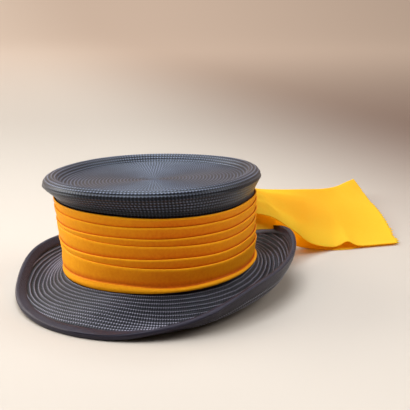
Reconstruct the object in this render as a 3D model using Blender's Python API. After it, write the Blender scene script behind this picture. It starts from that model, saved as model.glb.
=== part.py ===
"""Postillion hat of dark sewn straw with a pleated scarf band and a loose scarf tail.

Frame: the hat's front is -Y, its right side +X, up +Z, and the table is the plane z = 0.
Directions round the hat are degrees from the front, turning towards +X.
"""
import math

import bmesh
import bpy
from mathutils import Vector

for old in list(bpy.data.objects):
    bpy.data.objects.remove(old, do_unlink=True)

MM = 0.001

# crown
HEAD_WIDTH = 174.8 * MM          # outside of the straw where the crown meets the brim
HEAD_LENGTH = 193.6 * MM
OVAL_POWER = 2.2                 # a little squarer than an ellipse
STRAW = 2.2 * MM                 # thickness of the sewn braid
CROWN_FOOT = 24.3 * MM           # height of the crown's foot at the middle of the hat
CROWN_HEIGHT = 90.0 * MM         # from the foot to the top of the soft rim
TOUCH = 0.35 * MM                # air between pieces that lie on each other

# brim
BRIM_REACH = 62.0 * MM           # a full width of the brim, seen from above
BRIM_RISE = 43.0 * MM            # the highest point of the rolled edge
BRIM_SHIFT = 1.5 * MM            # the crown stands this far to the right on the brim
BINDING_WIDTH = 10.0 * MM
BINDING = 1.0 * MM               # thickness of the ribbon
LAND = 1.35 * MM                 # the ribbon is pressed flat where it comes this near the table

EDGE_DEPTH = 2 * BINDING + 2 * TOUCH + STRAW
EDGE_SETBACK = 1.5 * MM          # the lowest point of the ribbon lies this far in from the brim's edge
SETTLE = 0.15 * MM               # how far the brim sinks onto the table before the ribbon is pressed flat
EASE = 0.4 * MM                  # softens the change from the resting stretches to the rolled ones

# band
BAND_SPAN = (0.008, 0.747)       # foot and top of the band, shares of the crown's height
BAND_BED = 1.5 * MM              # cloth lying flat on the crown
FOLD_PUFF = 1.7 * MM             # how far a fold's lower edge stands off

# tail
CLOTH = 1.6 * MM                 # one ply of the folded scarf
TAIL_REACH = 350.0 * MM          # from the band to the far corner of the cut end, about
TAIL_FOLD = 7.0 * MM             # radius of the soft fold along the far edge
GATHER_FOLD = 2.2 * MM           # radius of that fold where the cloth is gathered at the band
LIFT = 5.0 * MM                  # height of the small arch in the near edge
LIFT_SPOT = (0.685, 0.035)       # its place and half width along the tail, as shares
END_BOW = 2.5 * MM               # how far the cut edge bows out
RIPPLE = 1.2 * MM                # soft ripples across the upper ply

# crown rings, outside, from the foot upwards: share of the crown's height, share of the head's width,
# share of its length, shift along X as a share of the width and along Y of the length, slopes along X and Y
CROWN_OUTSIDE = (
    (0.004, 1.000, 1.000, 0.0086, 0.0000, 0.024, 0.000),
    (0.250, 1.012, 1.010, 0.0029, -0.0021, 0.016, -0.008),
    (0.500, 1.028, 1.021, -0.0046, -0.0041, 0.006, -0.020),
    (0.745, 1.052, 1.044, -0.0132, -0.0072, -0.006, -0.032),
    (0.795, 1.060, 1.058, -0.0160, -0.0077, 0.004, -0.036),
    (0.842, 1.095, 1.102, -0.0206, -0.0088, 0.014, -0.039),
    (0.888, 1.131, 1.144, -0.0252, -0.0098, 0.022, -0.041),
    (0.925, 1.151, 1.164, -0.0269, -0.0103, 0.027, -0.042),
    (0.982, 1.117, 1.130, -0.0269, -0.0103, 0.027, -0.042),
    (1.000, 1.066, 1.078, -0.0269, -0.0103, 0.027, -0.042),
    (0.986, 1.016, 1.028, -0.0269, -0.0103, 0.027, -0.042),
    (0.950, 0.981, 0.992, -0.0269, -0.0103, 0.027, -0.042),
    (0.922, 0.929, 0.940, -0.0269, -0.0103, 0.026, -0.041),
    (0.908, 0.771, 0.780, -0.0269, -0.0103, 0.024, -0.036),
    (0.902, 0.395, 0.400, -0.0269, -0.0103, 0.022, -0.032),
)
CROWN_INSIDE = (
    (0.877, 0.395, 0.400, -0.0269, -0.0103, 0.022, -0.032),
    (0.883, 0.771, 0.780, -0.0269, -0.0103, 0.024, -0.036),
    (0.890, 0.949, 0.960, -0.0269, -0.0103, 0.026, -0.041),
    (0.925, 0.994, 1.006, -0.0269, -0.0103, 0.027, -0.042),
    (0.975, 1.064, 1.076, -0.0269, -0.0103, 0.027, -0.042),
    (0.952, 1.107, 1.120, -0.0269, -0.0103, 0.027, -0.042),
    (0.915, 1.123, 1.136, -0.0269, -0.0103, 0.025, -0.041),
    (0.862, 1.077, 1.086, -0.0223, -0.0093, 0.016, -0.039),
    (0.810, 1.037, 1.037, -0.0172, -0.0077, 0.004, -0.036),
    (0.745, 1.027, 1.021, -0.0132, -0.0072, -0.006, -0.032),
    (0.500, 1.003, 0.998, -0.0046, -0.0041, 0.006, -0.020),
    (0.004, 0.975, 0.977, 0.0086, 0.0000, 0.024, 0.000),
)
CROWN_CENTRE = (0.901, 0.876)     # height of the tip's middle, outside and inside

# the brim round the hat: direction, share of the reach, share of the rise,
# slope where it leaves the crown and slope at its edge (degrees, up is plus)
BRIM_TABLE = (
    (0, 0.940, 0.085, -20, -16),
    (30, 0.765, 0.37, -36, 46),
    (60, 0.560, 0.700, -47, 86),
    (90, 0.575, 0.82, -46, 86),
    (110, 0.620, 0.90, -36, 80),
    (130, 0.660, 1.02, -24, 70),
    (150, 0.630, 0.77, -18, 46),
    (180, 0.790, 0.095, -20, -14),
    (210, 0.880, 0.20, -20, -4),
    (240, 0.880, 0.52, -22, 34),
    (270, 0.815, 0.59, -22, 50),
    (300, 0.755, 0.37, -24, 36),
    (330, 0.885, 0.165, -22, 0),
)

# lower edges of the scarf's folds, as shares of the band's height from its foot
FOLD_EDGES = (0.0, 0.085, 0.33, 0.46, 0.64, 0.725, 0.88, 1.0)

# where the gathered end of the tail meets the band: direction and share of the crown's height
# of the upper ply's near edge, of the fold and of the lower ply's near edge
GATHER = ((130.0, 0.424), (159.0, 0.713), (131.5, 0.202))
OUTLET = (145.0, 0.424)          # the middle of the gather

# stations along the tail: near edge of the upper ply, far fold, near edge of the lower ply, each as
# X and Y from the outlet, shares of the tail's reach, and Z, share of the brim's rise;
# then how far the upper ply arches up, a share of that rise too
TAIL_STATIONS = (
    ((0.079, 0.000, 1.279), (-0.026, 0.074, 1.895), (0.066, 0.011, 0.942), 0.12),
    ((0.100, 0.036, 1.105), (0.006, 0.123, 1.744), (0.074, 0.069, 0.977), 0.14),
    ((0.140, 0.086, 0.744), (0.054, 0.226, 1.535), (0.089, 0.137, 0.465), 0.16),
    ((0.177, 0.157, 0.302), (0.097, 0.354, 1.326), (0.123, 0.203, 0.070), 0.16),
    ((0.237, 0.229, 0.074), (0.126, 0.497, 1.093), (0.234, 0.227, 0.019), 0.14),
    ((0.303, 0.271, 0.070), (0.140, 0.689, 0.814), (0.301, 0.270, 0.019), 0.12),
    ((0.360, 0.314, 0.067), (0.146, 0.851, 0.628), (0.359, 0.313, 0.019), 0.09),
    ((0.414, 0.354, 0.067), (0.140, 0.986, 0.512), (0.413, 0.353, 0.019), 0.07),
)

ROUND = 60                       # straight sides round the hat


def oval(angle, width, length):
    """Distance from the middle to an oval of that width and length, in the direction of angle."""
    a = abs(math.sin(angle)) / (width / 2)
    b = abs(math.cos(angle)) / (length / 2)
    return (a ** OVAL_POWER + b ** OVAL_POWER) ** (-1 / OVAL_POWER)


def directions():
    return [2 * math.pi * k / ROUND for k in range(ROUND)]


def around(table, column, angle):
    """Smooth closed curve through one column of a table whose first column is the direction in degrees."""
    turn = math.degrees(angle) % 360.0
    n = len(table)
    i = max(k for k in range(n) if table[k][0] <= turn)
    places = [table[(i + k) % n][0] + 360.0 * ((i + k) // n) for k in (-1, 0, 1, 2)]
    values = [table[(i + k) % n][column] for k in (-1, 0, 1, 2)]
    span = places[2] - places[1]
    t = (turn - places[1]) / span
    m1 = (values[2] - values[0]) / (places[2] - places[0]) * span
    m2 = (values[3] - values[1]) / (places[3] - places[1]) * span
    return ((2 * t ** 3 - 3 * t * t + 1) * values[1] + (t ** 3 - 2 * t * t + t) * m1
            + (3 * t * t - 2 * t ** 3) * values[2] + (t ** 3 - t * t) * m2)


def along(rows, s):
    """The same curve through rows of points, open at both ends; s runs from 0 to 1."""
    n = len(rows) - 1
    x = min(max(s, 0.0), 1.0) * n
    i = min(int(x), n - 1)
    t = x - i
    p1, p2 = rows[i], rows[i + 1]
    p0 = rows[i - 1] if i > 0 else [2 * a - b for a, b in zip(p1, p2)]
    p3 = rows[i + 2] if i + 2 <= n else [2 * b - a for a, b in zip(p1, p2)]
    return [0.5 * (2 * b + (c - a) * t + (2 * a - 5 * b + 4 * c - d) * t * t + (3 * b - a - 3 * c + d) * t ** 3)
            for a, b, c, d in zip(p0, p1, p2, p3)]


def crown_point(row, angle, grow=0.0):
    """Point on a crown ring; grow moves it outwards."""
    height, width, length, shift_x, shift_y, slope_x, slope_y = row
    r = oval(angle, HEAD_WIDTH * width, HEAD_LENGTH * length) + grow
    x, y = r * math.sin(angle), -r * math.cos(angle)
    z = CROWN_FOOT + height * CROWN_HEIGHT + slope_x * x + slope_y * y
    return Vector((x + shift_x * HEAD_WIDTH, y + shift_y * HEAD_LENGTH, z))


def crown_wall(height, angle, grow=0.0):
    """Point on the crown's side wall at a share of the crown's height."""
    rows = CROWN_OUTSIDE[:4]
    for low, high in zip(rows, rows[1:]):
        if height <= high[0] or high is rows[-1]:
            break
    t = (height - low[0]) / (high[0] - low[0])
    row = [a + (b - a) * t for a, b in zip(low, high)]
    return crown_point(row, angle, grow)


def brim_curve(angle, count=80):
    """Upper face of the brim in one direction, from the crown's inside out to the edge, as (r, z, slope)."""
    reach, rise, slope_in, slope_out = (around(BRIM_TABLE, k, angle) for k in (1, 2, 3, 4))
    start = crown_point((0.0, 0.975, 0.977, 0, 0, 0.024, 0), angle)
    a, b = math.radians(slope_in), math.radians(slope_out)
    r0 = math.hypot(start.x, start.y) + BRIM_SHIFT * math.sin(angle) - (BINDING + TOUCH) * math.sin(a)
    z0 = start.z + (BINDING + TOUCH) * math.cos(a)
    r3 = oval(angle, HEAD_WIDTH, HEAD_LENGTH) + BRIM_SHIFT * math.sin(angle) + reach * BRIM_REACH
    handle = 0.44 * BRIM_REACH
    flat = EDGE_DEPTH * math.cos(b) + EDGE_SETBACK * math.sin(b) - SETTLE
    over = rise * BRIM_RISE - flat
    z3 = flat + 0.5 * (over + math.sqrt(over * over + EASE ** 2))
    r1, z1 = r0 + handle * math.cos(a), z0 + handle * math.sin(a)
    r2, z2 = r3 - handle * math.cos(b), z3 - handle * math.sin(b)
    out = []
    for k in range(count + 1):
        t = k / count
        u = 1 - t
        r = u ** 3 * r0 + 3 * u * u * t * r1 + 3 * u * t * t * r2 + t ** 3 * r3
        z = u ** 3 * z0 + 3 * u * u * t * z1 + 3 * u * t * t * z2 + t ** 3 * z3
        dr = 3 * u * u * (r1 - r0) + 6 * u * t * (r2 - r1) + 3 * t * t * (r3 - r2)
        dz = 3 * u * u * (z1 - z0) + 6 * u * t * (z2 - z1) + 3 * t * t * (z3 - z2)
        out.append((r, z, math.atan2(dz, dr)))
    return out


def brim_marks(angle):
    """The same face at a few even steps, the last of them under the ribbon."""
    fine = brim_curve(angle)
    length = [0.0]
    for (r, z, _), (q, y, _) in zip(fine, fine[1:]):
        length.append(length[-1] + math.hypot(q - r, y - z))
    inner = length[-1] - BINDING_WIDTH
    wanted = [inner * k / 5 for k in range(6)] + [inner + BINDING_WIDTH * 0.4, inner + BINDING_WIDTH * 0.75]
    out = []
    for w in wanted:
        k = max(i for i in range(len(fine) - 1) if length[i] <= w)
        t = (w - length[k]) / (length[k + 1] - length[k])
        out.append(tuple(p + (q - p) * t for p, q in zip(fine[k], fine[k + 1])))
    return out, fine[-1]


def place(r, z, angle):
    return Vector((r * math.sin(angle), -r * math.cos(angle), z))


def finish(name, mesh_data, colour, rough):
    verts, faces = mesh_data
    mesh = bpy.data.meshes.new(name)
    mesh.from_pydata([tuple(v) for v in verts], [], faces)
    mesh.validate()
    work = bmesh.new()
    work.from_mesh(mesh)
    bmesh.ops.recalc_face_normals(work, faces=work.faces)
    if work.calc_volume(signed=True) < 0:
        bmesh.ops.reverse_faces(work, faces=work.faces)
    work.to_mesh(mesh)
    work.free()
    mesh.polygons.foreach_set("use_smooth", [True] * len(mesh.polygons))
    obj = bpy.data.objects.new(name, mesh)
    bpy.context.collection.objects.link(obj)
    material = bpy.data.materials.new(name + "_material")
    material.use_nodes = True
    shader = material.node_tree.nodes["Principled BSDF"]
    shader.inputs["Base Color"].default_value = (*colour, 1.0)
    shader.inputs["Roughness"].default_value = rough
    mesh.materials.append(material)
    return obj


def loop_body(sections, widths):
    """Closed body swept once round the hat through sections, each a closed run of points.
    widths says how far each point lies from the crown, so that touching faces are split alike."""
    n, m = len(sections), len(sections[0])
    verts = [p for section in sections for p in section]
    faces = []
    for i in range(n):
        j = (i + 1) % n
        for k in range(m):
            l = (k + 1) % m
            ik, jk, il, jl = i * m + k, j * m + k, i * m + l, j * m + l
            if widths[k] <= widths[l]:
                faces += [(ik, jk, jl), (ik, jl, il)]
            else:
                faces += [(ik, jk, il), (jk, jl, il)]
    return verts, faces


def make_crown():
    angles = directions()
    rings = [[crown_point(row, a) for a in angles] for row in CROWN_OUTSIDE]
    rings += [[crown_point(row, a) for a in angles] for row in CROWN_INSIDE]
    n = len(angles)
    verts = [p for ring in rings for p in ring]
    faces = []
    last_out = len(CROWN_OUTSIDE) - 1
    for i in range(len(rings)):
        if i == last_out:
            continue
        j = (i + 1) % len(rings)
        for k in range(n):
            l = (k + 1) % n
            faces.append((i * n + k, i * n + l, j * n + l, j * n + k))
    for height, ring in zip(CROWN_CENTRE, (last_out, last_out + 1)):
        middle = sum((verts[ring * n + k] for k in range(n)), Vector()) / n
        middle.z = CROWN_FOOT + height * CROWN_HEIGHT
        verts.append(middle)
        for k in range(n):
            faces.append((ring * n + k, ring * n + (k + 1) % n, len(verts) - 1))
    return finish("crown", (verts, faces), (0.030, 0.028, 0.045), 0.55)


def below(mark, depth, angle, back=0.0):
    """Point under a mark of the brim's face: depth along its normal, back towards the crown."""
    r, z, slope = mark
    return place(r + math.sin(slope) * depth - math.cos(slope) * back,
                 z - math.cos(slope) * depth - math.sin(slope) * back, angle)


def make_brim():
    sections = []
    inset = BINDING + TOUCH
    for a in directions():
        marks, edge = brim_marks(a)
        top = [below(m, inset, a) for m in marks] + [below(edge, inset, a, inset)]
        under = [below(m, inset + STRAW, a) for m in marks] + [below(edge, inset + STRAW, a, inset)]
        sections.append(top + under[::-1])
    widths = list(range(len(top)))
    return finish("brim", loop_body(sections, widths + widths[::-1]), (0.030, 0.028, 0.045), 0.6)


def make_binding():
    sections = []
    deep = EDGE_DEPTH
    for a in directions():
        marks, edge = brim_marks(a)
        first, second, third = marks[-3:]
        outer = [below(first, 0, a), below(second, 0, a), below(third, 0, a),
                 below(edge, 1.0 * MM, a), below(edge, deep - 1.0 * MM, a),
                 below(third, deep, a), below(second, deep, a), below(first, deep, a)]
        inner = [below(first, deep - BINDING, a), below(second, deep - BINDING, a), below(third, deep - BINDING, a),
                 below(edge, deep - BINDING, a, BINDING), below(edge, BINDING, a, BINDING),
                 below(third, BINDING, a), below(second, BINDING, a), below(first, BINDING, a)]
        for p in outer[5:7]:
            if p.z < LAND:
                p.z = 0.0
        sections.append(outer + inner)
    widths = (0, 1, 2, 3, 3, 2, 1, 0)
    return finish("brim_binding", loop_body(sections, widths + widths), (0.020, 0.014, 0.022), 0.5)


def make_band():
    sections = []
    foot, top = BAND_SPAN
    for a in directions():
        outside = []
        folds = list(zip(FOLD_EDGES, FOLD_EDGES[1:]))
        for number, (low, high) in enumerate(folds):
            wave = 0.012 * math.sin(a * 2 + number * 1.3) + 0.008 * math.sin(a * 3 + number * 2.1)
            wave_up = 0.012 * math.sin(a * 2 + (number + 1) * 1.3) + 0.008 * math.sin(a * 3 + (number + 1) * 2.1)
            lo = low + (wave if number else 0.0)
            hi = high + (wave_up if number < len(folds) - 1 else 0.0)
            for share, puff in ((0.0, 0.8), (0.3, 1.0), (0.97, 0.10)):
                h = lo + (hi - lo) * share
                outside.append(crown_wall(foot + (top - foot) * h, a, TOUCH + BAND_BED + FOLD_PUFF * puff))
        inside = [crown_wall(foot + (top - foot) * h, a, TOUCH) for h in (1.0, 0.5, 0.0)]
        sections.append(outside + inside)
    widths = list(range(len(outside))) + list(range(len(inside)))[::-1]
    return finish("hat_band", loop_body(sections, widths), (0.85, 0.42, 0.03), 0.75)


def gather_point(direction, height):
    """Point just outside the band, on the middle of the cloth gathered there."""
    return crown_wall(height, math.radians(direction), TOUCH + BAND_BED + FOLD_PUFF + TOUCH + CLOTH / 2)


def tail_rows():
    """Rows of ten numbers along the tail: the three points of each station and its arch."""
    outlet = gather_point(*OUTLET)
    start = [value for direction, height in GATHER for value in gather_point(direction, height)]
    rows = [start + [TAIL_STATIONS[0][3] * BRIM_RISE]]
    for near, fold, under, arch in TAIL_STATIONS:
        row = []
        for x, y, z in (near, fold, under):
            row += [outlet.x + x * TAIL_REACH, outlet.y + y * TAIL_REACH, z * BRIM_RISE]
        rows.append(row + [arch * BRIM_RISE])
    return rows


def tail_middle(rows, s, w):
    """Middle of the doubled cloth; s runs from the band to the cut end, w from the upper raw edge
    over the far fold to the lower raw edge."""
    v = along(rows, s)
    near, fold, under, arch = Vector(v[0:3]), Vector(v[3:6]), Vector(v[6:9]), v[9]
    radius = min(TAIL_FOLD, 0.5 * fold.z - 0.6 * CLOTH)
    radius = GATHER_FOLD + (radius - GATHER_FOLD) * min(1.0, s * 2.2)
    turn_near, turn_far = 0.46, 0.54
    across = (fold - near)
    across.z = 0
    across.normalize()
    crest = fold - across * radius
    base = crest.copy()
    base.z = crest.z - 2 * radius
    chord = (Vector(rows[0][0:3]) + Vector(rows[0][3:6])) / 2
    bow = gather_point(OUTLET[0], (GATHER[0][1] + GATHER[1][1]) / 2) - chord
    bow.z = 0
    bow *= max(0.0, 1.0 - 7 * s)
    if w <= turn_near:
        t = w / turn_near
        p = near + (crest - near) * t + bow * math.sin(math.pi * t)
        p.z += arch * math.sin(math.pi * t)
        p.z += RIPPLE * math.sin(3 * math.pi * t + 4 * s) * math.sin(math.pi * t)
        p.z += LIFT * math.exp(-((s - LIFT_SPOT[0]) / LIFT_SPOT[1]) ** 2) * (1 - t) ** 3
        p += Vector((0.92, 0.40, 0)) * (END_BOW * s ** 8 * math.sin(math.pi * min(1.0, t * 1.6)) ** 2)
        return p
    if w < turn_far:
        t = (w - turn_near) / (turn_far - turn_near) * math.pi
        return crest + across * (radius * math.sin(t)) + Vector((0, 0, radius * (math.cos(t) - 1)))
    t = (w - turn_far) / (1 - turn_far)
    p = base + (under - base) * t + bow * math.sin(math.pi * t)
    sag = min(1.0, max(0.0, (s - 0.35) * 2.5))
    drop = (base.z - under.z) * (1 - t)
    p.z -= drop * sag * (1 - (1 - t) ** 3)
    p.z = max(p.z, CLOTH / 2)
    return p


def make_tail(along_count=19, across_count=20):
    rows = tail_rows()
    grid = [[tail_middle(rows, i / along_count, j / across_count) for j in range(across_count + 1)]
            for i in range(along_count + 1)]

    def at(i, j):
        return grid[min(max(i, 0), along_count)][min(max(j, 0), across_count)]

    verts = []
    for side in (0.5, -0.5):
        for i in range(along_count + 1):
            for j in range(across_count + 1):
                du = at(i + 1, j) - at(i - 1, j)
                dv = at(i, j + 1) - at(i, j - 1)
                verts.append(at(i, j) + du.cross(dv).normalized() * (side * CLOTH))
    for v in verts:
        v.z = max(v.z, 0.0)
    n, m = along_count + 1, across_count + 1
    faces = []
    for i in range(along_count):
        for j in range(across_count):
            q = (i * m + j, (i + 1) * m + j, (i + 1) * m + j + 1, i * m + j + 1)
            faces.append(q)
            faces.append(tuple(n * m + k for k in reversed(q)))
    rim = [(i, 0) for i in range(n)] + [(n - 1, j) for j in range(1, m)]
    rim += [(i, m - 1) for i in range(n - 2, -1, -1)] + [(0, j) for j in range(m - 2, 0, -1)]
    for (i, j), (k, l) in zip(rim, rim[1:] + rim[:1]):
        faces.append((i * m + j, k * m + l, n * m + k * m + l, n * m + i * m + j))
    return finish("scarf_tail", (verts, faces), (0.90, 0.50, 0.04), 0.75)


make_crown()
make_brim()
make_binding()
make_band()
make_tail()
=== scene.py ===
"""Looks of the postillion hat: sewn straw, ribbon binding, pleated scarf band and loose scarf tail.

Frame: the hat's front is -Y, its right side +X, up +Z, and the table is the plane z = 0.
Directions round the hat are degrees from the front, turning towards +X. Lengths are metres.
"""
import math

import bpy
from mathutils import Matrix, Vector, noise


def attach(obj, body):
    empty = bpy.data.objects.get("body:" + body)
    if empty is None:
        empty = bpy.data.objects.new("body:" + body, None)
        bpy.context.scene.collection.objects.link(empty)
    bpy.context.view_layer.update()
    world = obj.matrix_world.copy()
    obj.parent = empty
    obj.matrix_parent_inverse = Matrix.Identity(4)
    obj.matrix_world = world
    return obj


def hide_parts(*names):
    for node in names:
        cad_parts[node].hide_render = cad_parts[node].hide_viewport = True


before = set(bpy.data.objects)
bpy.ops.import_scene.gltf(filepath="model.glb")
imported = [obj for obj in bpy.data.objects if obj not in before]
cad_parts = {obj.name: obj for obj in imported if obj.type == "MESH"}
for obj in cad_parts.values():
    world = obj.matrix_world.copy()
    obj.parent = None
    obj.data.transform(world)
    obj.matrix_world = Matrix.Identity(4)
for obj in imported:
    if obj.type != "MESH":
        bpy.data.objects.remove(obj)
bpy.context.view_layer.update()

MM = 0.001

# crown
HEAD_WIDTH = 174.8 * MM          # outside of the straw where the crown meets the brim
HEAD_LENGTH = 193.6 * MM
OVAL_POWER = 2.2                 # a little squarer than an ellipse
STRAW = 2.2 * MM                 # thickness of the sewn braid
CROWN_FOOT = 24.3 * MM           # height of the crown's foot at the middle of the hat
CROWN_HEIGHT = 90.0 * MM         # from the foot to the top of the soft rim
TOUCH = 0.35 * MM                # air between pieces that lie on each other

# brim
BRIM_REACH = 62.0 * MM           # a full width of the brim, seen from above
BRIM_RISE = 43.0 * MM            # the highest point of the rolled edge
BRIM_SHIFT = 1.5 * MM            # the crown stands this far to the right on the brim
BINDING_WIDTH = 10.0 * MM
BINDING = 1.0 * MM               # thickness of the ribbon

EDGE_DEPTH = 2 * BINDING + 2 * TOUCH + STRAW
EDGE_SETBACK = 1.5 * MM          # the lowest point of the ribbon lies this far in from the edge
SETTLE = 0.15 * MM               # how far the brim sinks onto the table before the ribbon is flat
EASE = 0.4 * MM                  # softens the change from the resting stretches to the rolled ones

# band
BAND_BED = 1.5 * MM              # cloth lying flat on the crown
FOLD_PUFF = 1.7 * MM             # how far a fold's lower edge stands off

# tail
CLOTH = 1.6 * MM                 # one ply of the folded scarf
TAIL_REACH = 350.0 * MM          # from the band to the far corner of the cut end, about
TAIL_FOLD = 7.0 * MM             # radius of the soft fold along the far edge
GATHER_FOLD = 2.2 * MM           # radius of that fold where the cloth is gathered at the band
LIFT = 5.0 * MM                  # height of the small arch in the near edge
LIFT_SPOT = (0.685, 0.035)       # its place and half width along the tail, as shares
END_BOW = 2.5 * MM               # how far the cut edge bows out
RIPPLE = 1.2 * MM                # soft ripples across the upper ply

# crown rings, outside, from the foot upwards: share of the crown's height, share of the head's width,
# share of its length, shift along X as a share of the width and along Y of the length,
# slopes along X and Y
CROWN_OUTSIDE = (
    (0.004, 1.000, 1.000, 0.0086, 0.0000, 0.024, 0.000),
    (0.250, 1.012, 1.010, 0.0029, -0.0021, 0.016, -0.008),
    (0.500, 1.028, 1.021, -0.0046, -0.0041, 0.006, -0.020),
    (0.745, 1.052, 1.044, -0.0132, -0.0072, -0.006, -0.032),
    (0.795, 1.060, 1.058, -0.0160, -0.0077, 0.004, -0.036),
    (0.842, 1.095, 1.102, -0.0206, -0.0088, 0.014, -0.039),
    (0.888, 1.131, 1.144, -0.0252, -0.0098, 0.022, -0.041),
    (0.925, 1.151, 1.164, -0.0269, -0.0103, 0.027, -0.042),
    (0.982, 1.117, 1.130, -0.0269, -0.0103, 0.027, -0.042),
    (1.000, 1.066, 1.078, -0.0269, -0.0103, 0.027, -0.042),
    (0.986, 1.016, 1.028, -0.0269, -0.0103, 0.027, -0.042),
    (0.950, 0.981, 0.992, -0.0269, -0.0103, 0.027, -0.042),
    (0.922, 0.929, 0.940, -0.0269, -0.0103, 0.026, -0.041),
    (0.908, 0.771, 0.780, -0.0269, -0.0103, 0.024, -0.036),
    (0.902, 0.395, 0.400, -0.0269, -0.0103, 0.022, -0.032),
)
CROWN_INSIDE = (
    (0.877, 0.395, 0.400, -0.0269, -0.0103, 0.022, -0.032),
    (0.883, 0.771, 0.780, -0.0269, -0.0103, 0.024, -0.036),
    (0.890, 0.949, 0.960, -0.0269, -0.0103, 0.026, -0.041),
    (0.925, 0.994, 1.006, -0.0269, -0.0103, 0.027, -0.042),
    (0.975, 1.064, 1.076, -0.0269, -0.0103, 0.027, -0.042),
    (0.952, 1.107, 1.120, -0.0269, -0.0103, 0.027, -0.042),
    (0.915, 1.123, 1.136, -0.0269, -0.0103, 0.025, -0.041),
    (0.862, 1.077, 1.086, -0.0223, -0.0093, 0.016, -0.039),
    (0.810, 1.037, 1.037, -0.0172, -0.0077, 0.004, -0.036),
    (0.745, 1.027, 1.021, -0.0132, -0.0072, -0.006, -0.032),
    (0.500, 1.003, 0.998, -0.0046, -0.0041, 0.006, -0.020),
    (0.004, 0.975, 0.977, 0.0086, 0.0000, 0.024, 0.000),
)
CROWN_CENTRE = (0.901, 0.876)     # height of the tip's middle, outside and inside

# the brim round the hat: direction, share of the reach, share of the rise,
# slope where it leaves the crown and slope at its edge (degrees, up is plus)
BRIM_TABLE = (
    (0, 0.940, 0.085, -20, -16),
    (30, 0.765, 0.37, -36, 46),
    (60, 0.560, 0.700, -47, 86),
    (90, 0.575, 0.82, -46, 86),
    (110, 0.620, 0.90, -36, 80),
    (130, 0.660, 1.02, -24, 70),
    (150, 0.630, 0.77, -18, 46),
    (180, 0.790, 0.095, -20, -14),
    (210, 0.880, 0.20, -20, -4),
    (240, 0.880, 0.52, -22, 34),
    (270, 0.815, 0.59, -22, 50),
    (300, 0.755, 0.37, -24, 36),
    (330, 0.885, 0.165, -22, 0),
)

# where the gathered end of the tail meets the band: direction and share of the crown's height
# of the upper ply's near edge, of the fold and of the lower ply's near edge
GATHER = ((130.0, 0.424), (159.0, 0.713), (131.5, 0.202))
OUTLET = (145.0, 0.424)          # the middle of the gather

# stations along the tail: near edge of the upper ply, far fold, near edge of the lower ply, each as
# X and Y from the outlet, shares of the tail's reach, and Z, share of the brim's rise;
# then how far the upper ply arches up, a share of that rise too
TAIL_STATIONS = (
    ((0.079, 0.000, 1.279), (-0.026, 0.074, 1.895), (0.066, 0.011, 0.942), 0.12),
    ((0.100, 0.036, 1.105), (0.006, 0.123, 1.744), (0.074, 0.069, 0.977), 0.14),
    ((0.140, 0.086, 0.744), (0.054, 0.226, 1.535), (0.089, 0.137, 0.465), 0.16),
    ((0.177, 0.157, 0.302), (0.097, 0.354, 1.326), (0.123, 0.203, 0.070), 0.16),
    ((0.237, 0.229, 0.074), (0.126, 0.497, 1.093), (0.234, 0.227, 0.019), 0.14),
    ((0.303, 0.271, 0.070), (0.140, 0.689, 0.814), (0.301, 0.270, 0.019), 0.12),
    ((0.360, 0.314, 0.067), (0.146, 0.851, 0.628), (0.359, 0.313, 0.019), 0.09),
    ((0.414, 0.354, 0.067), (0.140, 0.986, 0.512), (0.413, 0.353, 0.019), 0.07),
)


def oval(angle, width, length):
    """Distance from the middle to an oval of that width and length, in the direction of angle."""
    a = abs(math.sin(angle)) / (width / 2)
    b = abs(math.cos(angle)) / (length / 2)
    return (a ** OVAL_POWER + b ** OVAL_POWER) ** (-1 / OVAL_POWER)


def around(table, column, angle):
    """Smooth closed curve through one column of a table; its first column is the direction in degrees."""
    turn = math.degrees(angle) % 360.0
    n = len(table)
    i = max(k for k in range(n) if table[k][0] <= turn)
    places = [table[(i + k) % n][0] + 360.0 * ((i + k) // n) for k in (-1, 0, 1, 2)]
    values = [table[(i + k) % n][column] for k in (-1, 0, 1, 2)]
    span = places[2] - places[1]
    t = (turn - places[1]) / span
    m1 = (values[2] - values[0]) / (places[2] - places[0]) * span
    m2 = (values[3] - values[1]) / (places[3] - places[1]) * span
    return ((2 * t ** 3 - 3 * t * t + 1) * values[1] + (t ** 3 - 2 * t * t + t) * m1
            + (3 * t * t - 2 * t ** 3) * values[2] + (t ** 3 - t * t) * m2)


def along(rows, s):
    """The same curve through rows of points, open at both ends; s runs from 0 to 1."""
    n = len(rows) - 1
    x = min(max(s, 0.0), 1.0) * n
    i = min(int(x), n - 1)
    t = x - i
    p1, p2 = rows[i], rows[i + 1]
    p0 = rows[i - 1] if i > 0 else [2 * a - b for a, b in zip(p1, p2)]
    p3 = rows[i + 2] if i + 2 <= n else [2 * b - a for a, b in zip(p1, p2)]
    return [0.5 * (2 * b + (c - a) * t + (2 * a - 5 * b + 4 * c - d) * t * t
                   + (3 * b - a - 3 * c + d) * t ** 3)
            for a, b, c, d in zip(p0, p1, p2, p3)]


def crown_point(row, angle, grow=0.0):
    """Point on a crown ring; grow moves it outwards."""
    height, width, length, shift_x, shift_y, slope_x, slope_y = row
    r = oval(angle, HEAD_WIDTH * width, HEAD_LENGTH * length) + grow
    x, y = r * math.sin(angle), -r * math.cos(angle)
    z = CROWN_FOOT + height * CROWN_HEIGHT + slope_x * x + slope_y * y
    return Vector((x + shift_x * HEAD_WIDTH, y + shift_y * HEAD_LENGTH, z))


def crown_wall(height, angle, grow=0.0):
    """Point on the crown's side wall at a share of the crown's height."""
    rows = CROWN_OUTSIDE[:4]
    for low, high in zip(rows, rows[1:]):
        if height <= high[0] or high is rows[-1]:
            break
    t = (height - low[0]) / (high[0] - low[0])
    row = [a + (b - a) * t for a, b in zip(low, high)]
    return crown_point(row, angle, grow)


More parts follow.
